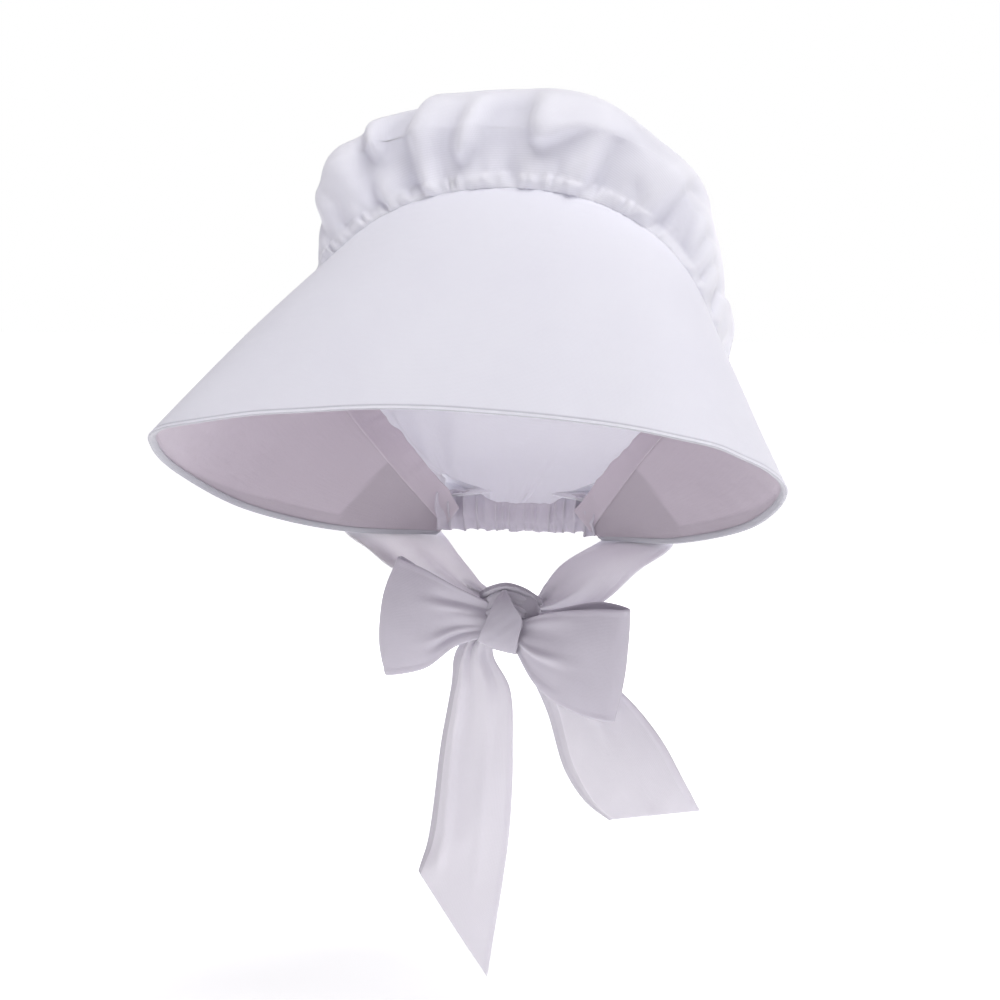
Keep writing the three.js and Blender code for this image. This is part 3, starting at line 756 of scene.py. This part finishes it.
def seam_hang(share, u, length):
    """The shift of the cloth that rolls over the seam and is tucked under the brim."""
    pucker = 0.5 + 0.5 * np.cos(2 * np.pi * (u / ROLL_PITCH + 0.7 * wobble(u / 44, 105)))
    roll = 0.7 + SEAM_ROLL * pucker * (0.85 + 0.25 * wobble(u / 23, 106))
    roll = roll * np.sin(np.pi * np.clip(length / ROLL_LENGTH, 0, 1))
    roll = roll * (1 - 0.8 * np.clip((u - 70) / 20, 0, 1))
    to_rim = unit(rim_at(share) - seam_at(share))
    outward = -brim_normal(share, np.zeros_like(share))
    tucked = CROWN_LAP["depth"] * fade(length / CROWN_LAP["length"])
    return 0.5 * to_rim * roll[..., None] + outward * (1.2 * roll - tucked)[..., None]


def crown_grid(along, backward):
    """The crown's points, and the painted shade in its deep creases."""
    steps = np.linspace(0, 1, backward)
    lines = np.interp(steps, [0, 0.52, 0.72, 0.84, 1], [0, 0.22, 0.4, 0.7, 1])
    share, back = np.meshgrid(np.linspace(-CROWN_END, CROWN_END, along), lines, indexing="ij")
    form = crown_form(share, back)
    u, length = seam_length(share), summed(step_lengths(form, axis=1))
    sink = crown_sink(share, back, u, length)
    points = form + crown_inward(share, back) * sink[..., None] + seam_hang(share, u, length)
    # painted shade in the deep creases, for the finish to darken
    return points, CREASE_SHADE * np.clip((sink - CREASE_START) / 6, 0, 1)


crown_points, crown_crease_painted_shade = crown_grid(470, 105)
crown = cloth("crown_gathered_cloth", crown_points, 0.5, crown_cotton, ["crown"])
mark_painted_shade(crown, crown_crease_painted_shade)
print("crown", crown_points.shape, "area", round(cloth_area(crown_points), 4), "m2")

# %% [markdown]
# ## The strip inside the seam
# A bias strip covers the raw edges where brim and crown meet. It is a narrow ruled surface from
# the seam back into the crown, and its free edge is caught only here and there, so it waves.

# %% Seam strip
STRIP_WIDTH = 15
STRIP_SHARE = 0.985
STRIP_INSIDE = 1.9
STRIP_OVER_LINING = 0.8
# which way the strip turns in from the seam: back into the crown, off the brim, to the middle
STRIP_BACK = 0.75
BACK_AT_CORNER = 0.05
STRIP_OFF_BRIM = 0.55
STRIP_TO_MIDDLE = 0.45


def strip_grid():
    share = np.linspace(-STRIP_SHARE, STRIP_SHARE, 300)
    way = unit(rim_at(share) - seam_at(share))
    normal = brim_normal(share, np.zeros_like(share))
    start = seam_at(share) + normal * STRIP_INSIDE + way * STRIP_OVER_LINING
    inward = np.stack([-start[:, 0], 0 * share, RIB_MIDDLE_Z - start[:, 2]], -1)
    corner = 1 - fade((np.abs(share) - 0.75) / 0.25)
    backward = STRIP_BACK * (1 + (BACK_AT_CORNER - 1) * corner)
    width = STRIP_WIDTH * (1 - 0.12 * corner)
    turn = np.stack([0 * share, backward, 0 * share], -1)
    turn = unit(turn - way * STRIP_OFF_BRIM + unit(inward) * STRIP_TO_MIDDLE)
    across = np.linspace(0, 1, 14)
    length = seam_length(share)
    wave = 0.6 * wobble(length / 26, 51)[:, None] * across**2
    wave = wave + 0.25 * wobble(length / 9, 52)[:, None] * across
    edge = 1 + 0.06 * wobble(length / 40, 53)
    points = start[:, None] + turn[:, None] * (width * edge)[:, None, None] * across[None, :, None]
    side = unit(np.cross(np.gradient(start, axis=0), turn))
    return points + side[:, None] * wave[..., None]


strip_points = strip_grid()
# the strip wears the lining's darker copy of the cotton: painted shade
strip = cloth("seam_strip", strip_points, 0.6, lining_cotton_painted_shade, ["seam_binding"])
print("strip", strip_points.shape, "area", round(cloth_area(strip_points), 5), "m2")

# %% [markdown]
# ## The elastic casing at the nape
# Between the two corners the cloth is doubled over a narrow elastic, which draws it into
# upright ruffles with a free frill below, deepest and widest where they bunch at the corners.
# One ruffled sheet stands for both layers, and it puffs out where the elastic lies.

# %% Nape casing
RUFFLE_SIZE = 0.8
END_BUNCH = 2.8
PUFF_SHARE = 0.7


def casing_grid():
    share, fall = np.meshgrid(np.linspace(-1, 1, 520), np.linspace(0, 1, 34), indexing="ij")
    x = CASING_TOP_X * share
    turn = ruffle_turn(x)
    ends = np.abs(share) ** 3
    size = (RUFFLE_SIZE + END_BUNCH * ends) * (0.85 + 0.4 * wobble(x / 13, 64))
    wave = 2 * (0.5 + 0.5 * np.cos(2 * np.pi * turn)) ** 0.7 - 1
    puff = 0.35 + 0.65 * np.sin(np.pi * np.clip(fall / PUFF_SHARE, 0, 1))
    puff = puff + 0.9 * np.clip((fall - PUFF_SHARE) / 0.3, 0, 1)
    half = CASING_TOP_X + (CASING_BOTTOM_X - CASING_TOP_X) * fall
    slide = 0.9 * size * np.sin(2 * np.pi * turn) * puff
    y = NAPE_LINE[0] + size * wave * puff - 1.5 * np.sin(np.pi * fall)
    y = y - CASING_FORWARD * share**NAPE_SQUARENESS
    frill = (0.5 + 1.2 * ends) * wobble(turn / 3, 65, 3) * np.clip((fall - 0.5) / 0.5, 0, 1)
    dip = nape_dip(x) - 1.5 * ends * (0.6 + 0.8 * wobble(turn / 2, 67, 2))
    top = CASING_TOP_Z - dip
    z = top - (CASING_HEIGHT - dip) * fall + frill + 0.4 * wobble(x / 20, 66)
    return np.stack([half * share + slide * 0.5, y, z], -1)


casing_points = casing_grid()
# the casing wears the bow's darker copy of the cotton: painted shade
casing = cloth("nape_elastic_casing", casing_points, 0.9, bow_cotton_painted_shade, ["nape_casing"])

# %% [markdown]
# ## The ribbon
# Each tie is a long strip of the same cotton with a narrow hem down both sides. It is lofted
# through cross-sections. The hems are a slight thickening along both edges, and near the knot
# the ribbon is pinched into pleats, because a knot squeezes the full width into little room.

# %% Ribbon surfaces
HEM_SHARE = 0.1
HEM_THICKENING = 0.7
RIBBON_WIDTH = 57
DEEPEST_PLEAT = 3.0
STRIP_COLUMNS = 14
STRIP_PAINTED_SHADE = 0.9


def pinched(seen, full, pleats, ease):
    """Height of the pleats that take the full width up in the width that is seen."""
    spare = np.maximum(full / np.maximum(seen, 4), 1)
    height = seen / (2 * np.pi * pleats) * np.sqrt(2 * (spare**2 - 1)) * (1 - fade((spare - 1) / 0.6))
    return DEEPEST_PLEAT * np.tanh(ease * height / DEEPEST_PLEAT)


def ribbon_grid(
    rows, along=150, across=61, pleats=3, ease=0.8, flutter=0.35, seed=0, turned=(), flat_until=0.0
):
    """A ribbon through its cross-sections, with the width that doesn't show taken up in pleats.

    turned lists (place, flat width, seen width) of the strip that is folded back along edge a:
    seen is less than 0 where the strip lies hidden behind. Pleats start beyond flat_until.
    """
    rows = np.asarray(rows, float)
    place = np.linspace(0, 1, along)
    edge_a, edge_b = smooth_curve(rows[:, 0:3]), smooth_curve(rows[:, 3:6])
    a, b = edge_a(place), edge_b(place)
    late, early = np.minimum(place + 1e-4, 1), np.maximum(place - 1e-4, 0)
    way = unit(edge_a(late) - edge_a(early)) + unit(edge_b(late) - edge_b(early))
    normal, over = unit(np.cross(way, b - a)), unit(b - a)
    flat_strip, seen_strip = np.zeros((2, along))
    if turned:
        places, flat, shown = np.transpose(turned)
        flat_strip, seen_strip = np.interp(place, places, flat), np.interp(place, places, shown)
    fold = a + over * np.maximum(seen_strip, 0)[:, None]
    seen = np.linalg.norm(b - fold, axis=-1)
    pleat = pinched(seen, RIBBON_WIDTH - flat_strip, pleats, ease)
    pleat = pleat * (1 - fade((place - flat_until) / 0.2))

    side = np.linspace(-1, 1, across)[None, :]
    bow_and_pleat = smooth_curve(rows[:, 6:8])(place)
    rise = bow_and_pleat[:, :1] * (1 - side**2) + bow_and_pleat[:, 1:] * np.cos(2 * np.pi * side)
    bend = 0.16 * np.sin(2 * np.pi * side + seed) + 0.05 * wobble(place * 1.3, seed + 40)[:, None]
    uneven = 0.75 + 0.35 * np.cos(np.pi * side + 2 * seed)
    rise = rise + pleat[:, None] * uneven * np.cos(np.pi * pleats * (side + bend) + seed)
    rise = rise + flutter * wobble(place[:, None] * 2.2 + side * 0.45, seed + 70, 3)
    face = fold[:, None] + (b - fold)[:, None] * ((side + 1) / 2)[..., None]
    face = face + normal[:, None] * rise[..., None]
    if not turned:
        return face
    share = np.linspace(1, 0, STRIP_COLUMNS, endpoint=False)[None, :, None]
    depth = np.sqrt(np.maximum(flat_strip**2 - seen_strip**2, 0))
    away = -over * seen_strip[:, None] - normal * depth[:, None]
    hollow = np.sin(np.pi * share) * 0.12 * flat_strip[:, None, None] * over[:, None]
    return np.concatenate([face[:, :1] + away[:, None] * share + hollow, face], axis=1)


def hemmed(columns):
    """Thicker along both long edges, where the cloth is turned under."""
    side = np.abs(np.linspace(-1, 1, columns))
    return 1 + HEM_THICKENING * np.clip((side - (1 - HEM_SHARE)) / 0.02, 0, 1)


def ribbon(node, rows, finish, held, rests_on, slant_cut=0, **shape):
    """Dresses one node of the bow, and says the size that its ribbon was cut to."""
    points = ribbon_grid(rows, **shape)
    thicker = hemmed(points.shape[1])
    piece = cloth(f"{node}_ribbon", points, 0.7, finish, [node], thinning=thicker)
    shaded = np.zeros(points.shape[:2])
    # painted shade on the strip that is folded back
    if shape.get("turned"):
        shaded[:, :STRIP_COLUMNS] = STRIP_PAINTED_SHADE
    mark_painted_shade(piece, shaded)
    middle = points[:, points.shape[1] // 2]
    length = step_lengths(middle).sum() * MM
    cut_area = float(RIBBON_WIDTH * MM * (length - slant_cut * MM / 2))
    share = cloth_area(points) / cut_area
    print(piece.name, round(1000 * length), "mm long, area", round(share, 2), "of its flat cut")


# %% [markdown]
# Each row is edge a (x, y, z), edge b (x, y, z), how far the middle bows out and how deep it
# pleats, all in mm. The ties run from the brim to the knot, and the others from the knot out.

# %% Cross-sections of the ties, loops and tails
TIE_RIGHT = [
    (-91, 13, -174, -46, 30, -174, 1, 0), (-75, 8, -185, -30, 16, -186, 3, 1),
    (-57, -1, -194, -16, 2, -195, 4, 2), (-32, -4, -203, -8, -3, -199, 2, 2),
    (-10, -5, -209, 0, -4, -203, 1, 1),
]
TIE_LEFT = [
    (46, 30, -174, 84, 15, -176, 1, 0), (29, 14, -186, 69, 5, -189, 4, 0),
    (22, 2, -197, 52, 0, -205, 4, 1), (19, -3, -203, 34, -3, -210, 2, 1),
    (13, -5, -206, 20, -5, -211, 1, 1),
]
LOOP_RIGHT = [
    (4, -17, -207, 4, -17, -220, 2, 1), (-17, -22, -197, -18, -19, -227, 3, 1),
    (-33, -24, -189, -32, -24, -238, 5, 0), (-47, -22, -184, -53, -22, -243, 6, 0),
    (-47, -18, -184, -55, -18, -243, 7, 0), (-35, -14, -192, -40, -14, -238, 1, 0),
    (-17, -14, -202, -19, -14, -225, 0, 0), (4, -13, -208, 4, -13, -219, 0, 0),
]
LOOP_LEFT = [
    (12, -18, -224, 12, -18, -215, 2, 1), (28, -22, -246, 34, -26, -208, 5, 1),
    (48, -28, -256, 57, -30, -205, 4, 0), (64, -25, -260, 72, -27, -205, 2, 0),
    (65, -20, -260, 73, -20, -205, 2, 0), (47, -15, -253, 57, -15, -203, 0, 0),
    (28, -14, -240, 36, -14, -207, 0, 0), (12, -14, -222, 12, -14, -214, 0, 0),
]
TAIL_RIGHT = [
    (-2, -8, -212, 4, -9, -212, 1, 0), (-13, -7, -219, -1, -8, -219, 2, 1),
    (-24, -9, -231, -2, -11, -231, 3, 1), (-25, -11, -249, 8, -14, -248, 4, 1),
    (-30, -13, -280, 10, -15, -279, 3, 0), (-34, -15, -318, 8, -14, -317, 3, 0),
    (-36, -16, -331, 5, -14, -342, 2, 0), (-39, -17, -343, -3, -15, -394, 1, 0),
]
TAIL_LEFT = [
    (8, -8, -218, 14, -8, -217, 1, 0), (13, -8, -230, 25, -7, -226, 2, 1),
    (20, -8, -247, 48, -5, -238, 3, 1), (26, -9, -260, 65, -5, -249, 4, 0),
    (36, -11, -289, 84, -7, -269, 4, 0), (47, -12, -303, 97, -9, -289, 3, 0),
    (60, -13, -311, 106, -10, -304, 2, 0),
]

# %% [markdown]
# A tie's end is stitched flat to the brim's outside, so its first rows come from the brim's
# surface. It is cut at a slant there, so its flat area is less than width times length. A strip
# along one edge of each tie and tail is folded back, as the photograph shows.

# %% The six ribbons
# share along the seam, then how far out on the brim the inner and the outer edge lie
TIE_END_SHARES = [(0.83, 0.16, 0.74), (0.89, 0.18, 0.72)]
TIE_OUTSIDE = 1.5
STITCHED_SLANT = 45
# place along the ribbon, flat width and seen width of the strip that is folded back
TUCKED_TIE = [(0, 0.01, 0), (0.2, 0.01, 0), (0.45, 14, -13.5), (0.8, 14, -13.5), (1, 5, -4.5)]
TURNED_RIGHT = [(0, 0.01, 0), (0.12, 5, 4), (0.3, 8.5, 7), (0.45, 5, 4), (0.75, 5, 4), (1, 2.5, 2)]
TURNED_LEFT = [(0, 0.01, 0), (0.15, 6, 5), (0.4, 9, 7.5), (0.7, 8, 6.5), (1, 4, 3)]


def tie_end_rows(side):
    rows = []
    for share, inner, outer in TIE_END_SHARES:
        place = np.full(2, side * share)
        out = np.array([inner, outer] if side > 0 else [outer, inner])
        a, b = brim_point(place, out) - brim_normal(place, out) * TIE_OUTSIDE
        rows.append((*a, *b, 0, 0))
    return rows


tie = {"pleats": 2, "ease": 0.7, "turned": TUCKED_TIE, "flat_until": 0.2, "slant_cut": STITCHED_SLANT}
loop = {"pleats": 3, "ease": 0.55}
tail = {"pleats": 2, "ease": 0.5}
both, knot = ["bow_knot", "brim"], ["bow_knot"]
# painted light: this tie wears the lighter copy, for a tie that hangs in shade
ribbon("tie_right", tie_end_rows(-1) + TIE_RIGHT, tie_cotton_painted_light, "gathered", both, seed=2, **tie)
ribbon("tie_left", tie_end_rows(1) + TIE_LEFT, ribbon_cotton, "gathered", both, seed=5, **tie)
# painted shade: the loops wear the darker copy, for the brim's shade on them
ribbon("bow_loop_right", LOOP_RIGHT, bow_cotton_painted_shade, "folded", knot, seed=9, **loop)
ribbon("bow_loop_left", LOOP_LEFT, bow_cotton_painted_shade, "folded", knot, seed=13, **loop)
ribbon("tail_right", TAIL_RIGHT, ribbon_cotton, "hung", knot, seed=17, turned=TURNED_RIGHT, **tail)
ribbon("tail_left", TAIL_LEFT, ribbon_cotton, "hung", knot, seed=19, turned=TURNED_LEFT, **tail)

# %% [markdown]
# ## The knot
# A bow's knot is ribbon too: one wrap goes over the top and down behind, and a narrower one
# crosses it in front, pulled to a point above and spreading below. Both are strips wound on a
# small oval body, and the one over the top is pleated. Their rows are as above.

# %% Knot
WRAP_THICKNESS = 0.9
KNOT_CORE = {"centre": (10.2, -13, -210), "half": (14.5, 8.5, 13.5), "crease": 0.035}
WRAP_TOP = [
    (-8, -12, -201, -6, -15, -217, 1.0, 0.2), (-1, -19, -197, 1, -22, -213, 1.2, 0.2),
    (9, -20, -194.5, 11, -24, -209, 1.2, 0.2), (18, -17, -197, 20, -20, -212, 1.2, 0.2),
    (25, -11, -203, 22, -13, -218, 1.0, 0.2),
]
WRAP_FRONT = [
    (7.5, -21, -198.5, 9.5, -21, -198, 0.2, 0), (5, -26, -204, 15, -27, -204, 0.6, 0),
    (2.5, -28, -211, 20, -28, -211.5, 1.0, 0), (-2, -27, -220, 18, -27.5, -221, 1.0, 0),
    (-4, -23, -224, 15, -22.5, -229, 0.8, 0), (-1, -16, -225, 13, -15, -229, 0.3, 0),
]


def knot_body():
    """The folded ribbon under the wraps, a creased oval."""
    mesh = bpy.data.meshes.new("knot_core")
    turn, fall = np.linspace(0, 2 * np.pi, 48, endpoint=False), np.linspace(0, np.pi, 26)
    angle, tilt = np.meshgrid(turn, fall)
    crease = 1 + KNOT_CORE["crease"] * np.cos(5 * angle + 2 * tilt) * np.sin(tilt)
    ring = np.sin(tilt)
    direction = np.stack([ring * np.cos(angle), ring * np.sin(angle), np.cos(tilt)], -1)
    points = direction * np.array(KNOT_CORE["half"]) * crease[..., None]
    points = np.array(KNOT_CORE["centre"]) + points
    index = numbered(*angle.shape)[0]
    right = np.roll(index, -1, axis=1)
    faces = np.stack([index[:-1], index[1:], right[1:], right[:-1]], -1).reshape(-1, 4)
    mesh.from_pydata((points.reshape(-1, 3) * MM).tolist(), [], faces.tolist())
    mesh.uv_layers.new(name="flat_cloth")
    mesh.polygons.foreach_set("use_smooth", [True] * len(mesh.polygons))
    # painted shade: the knot's finish is a darker copy of the cotton
    return placed("knot_inner_fold", mesh, knot_cotton_painted_shade)


knot_core = knot_body()
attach(knot_core, "root")
over = ribbon_grid(WRAP_TOP, 90, 41, pleats=3, ease=0.25, flutter=0.1, seed=23)
front = ribbon_grid(WRAP_FRONT, 90, 41, pleats=2, ease=0.0, flutter=0.15, seed=29)
# painted shade: both wraps wear the knot's darker copy of the cotton
wrap_top = cloth("knot_wrap_over", over, WRAP_THICKNESS, knot_cotton_painted_shade, ["bow_knot"])
wrap_front = cloth("knot_wrap_front", front, WRAP_THICKNESS, knot_cotton_painted_shade)
print("knot wraps", len(wrap_top.data.vertices), len(wrap_front.data.vertices), "points")

# %% [markdown]
# ## Floor
# The floor is pale and plain, far enough below the ties to hold no hard shadow. It glows a
# little, more so further out, so that it runs into the background without an edge.

# %% Floor
FLOOR_Z = -0.43
corners = [(x, y, FLOOR_Z) for x, y in ((-9, -9), (9, -9), (9, 9), (-9, 9))]
floor_mesh = bpy.data.meshes.new("floor")
floor_mesh.from_pydata(corners, [], [(0, 1, 2, 3)])
floor_finish = bpy.data.materials.new("pale floor")
floor_finish.use_nodes = True
tree = floor_finish.node_tree
place = add(tree, "TexCoord", "Object", {})
distance = add(tree, "VectorMath", "Value", {0: place}, operation="LENGTH")
fill(tree, tree.nodes["Principled BSDF"], {
    "Base Color": (0.93, 0.93, 0.93, 1), "Roughness": 0.9, "Emission Color": (1, 1, 1, 1),
    "Emission Strength": ranged(tree, distance, 0.5, 1.9, 0.5, 0.8),
})
floor = placed("floor", floor_mesh, floor_finish)
print("floor at", FLOOR_Z, "m")

# %% [markdown]
# ## Light
# The camera sees a white world, but only three tenths of it, faintly lavender, falls on the
# cloth. A large soft lamp above shades the folds and leaves the brim's inside in shade. A weak
# one at the wearer's left and a broad one behind keep that shade open. Thin cotton lets daylight
# into the crown, which an opaque sheet doesn't, so a small weak glow inside the crown stands in
# for it. The camera doesn't see the glow itself.

# %% Light
WORLD_ON_CLOTH = 0.3
scene = bpy.context.scene
scene.view_settings.view_transform = "Standard"
world = bpy.data.worlds.new("studio")
scene.world = world
world.use_nodes = True
tree = world.node_tree
seen = add(tree, "LightPath", "Is Camera Ray", {})
sky = {"Factor": seen, "A": (1.0, 0.955, 1.03, 1), "B": (1, 1, 1, 1)}
fill(tree, tree.nodes["Background"], {
    "Color": add(tree, "Mix", "Result", sky, data_type="RGBA"),
    "Strength": ranged(tree, seen, 0, 1, WORLD_ON_CLOTH, 1.0),
})


def soft_lamp(name, place, aim, size, power, colour=(1, 1, 1)):
    light = bpy.data.lights.new(name, "AREA")
    light.shape, light.size, light.energy, light.color = "DISK", size, power, colour
    lamp = placed(name, light)
    lamp.location = place
    lamp.rotation_euler = (Vector(aim) - Vector(place)).to_track_quat("-Z", "Y").to_euler()
    return lamp


soft_lamp("lamp above", (0.6, -0.5, 1.55), (0, 0, -0.1), 1.1, 23.5)
soft_lamp("lamp right", (1.9, -0.9, 0.7), (0, 0, -0.15), 1.0, 1.5)
soft_lamp("lamp behind", (-0.3, 1.9, 0.35), (0, 0.1, -0.1), 1.2, 14)
inside, nape = (0, 0.012, -0.06), (0, 0.085, -0.135)
glow = soft_lamp("glow inside the crown", inside, nape, 0.09, 0.024, (1, 0.955, 0.965))
glow.visible_camera = False
print("lamps", [lamp.name for lamp in bpy.data.lights])

# %% [markdown]
# ## Camera
# The bonnet is seen from a little to its left and just above, with a long lens. The lens comes
# from the photograph's scale, about half a millimetre of the bonnet for each pixel.

# %% Camera
AZIMUTH, ELEVATION, DISTANCE = math.radians(20), math.radians(5), 1.6
TARGET = Vector((0, 0, -0.155))
SHIFT_RIGHT, SHIFT_UP = -0.00135, -0.00035
SENSOR_WIDTH = 36
PIXELS, MM_PER_PIXEL = 1000, 0.4998
back = Vector((
    math.sin(AZIMUTH) * math.cos(ELEVATION),
    -math.cos(AZIMUTH) * math.cos(ELEVATION),
    math.sin(ELEVATION),
))
right_way = Vector((math.cos(AZIMUTH), math.sin(AZIMUTH), 0))
up_way = back.cross(right_way)
camera = placed("camera", bpy.data.cameras.new("camera"))
camera.data.sensor_width = SENSOR_WIDTH
camera.data.lens = SENSOR_WIDTH / (PIXELS * MM_PER_PIXEL * MM / DISTANCE)
aim = TARGET + right_way * SHIFT_RIGHT + up_way * SHIFT_UP
camera.location = aim + back * DISTANCE
camera.rotation_euler = (-back).to_track_quat("-Z", "Y").to_euler()
scene.camera = camera
print("camera", np.round(camera.location, 3), "lens", round(camera.data.lens, 1), "mm")
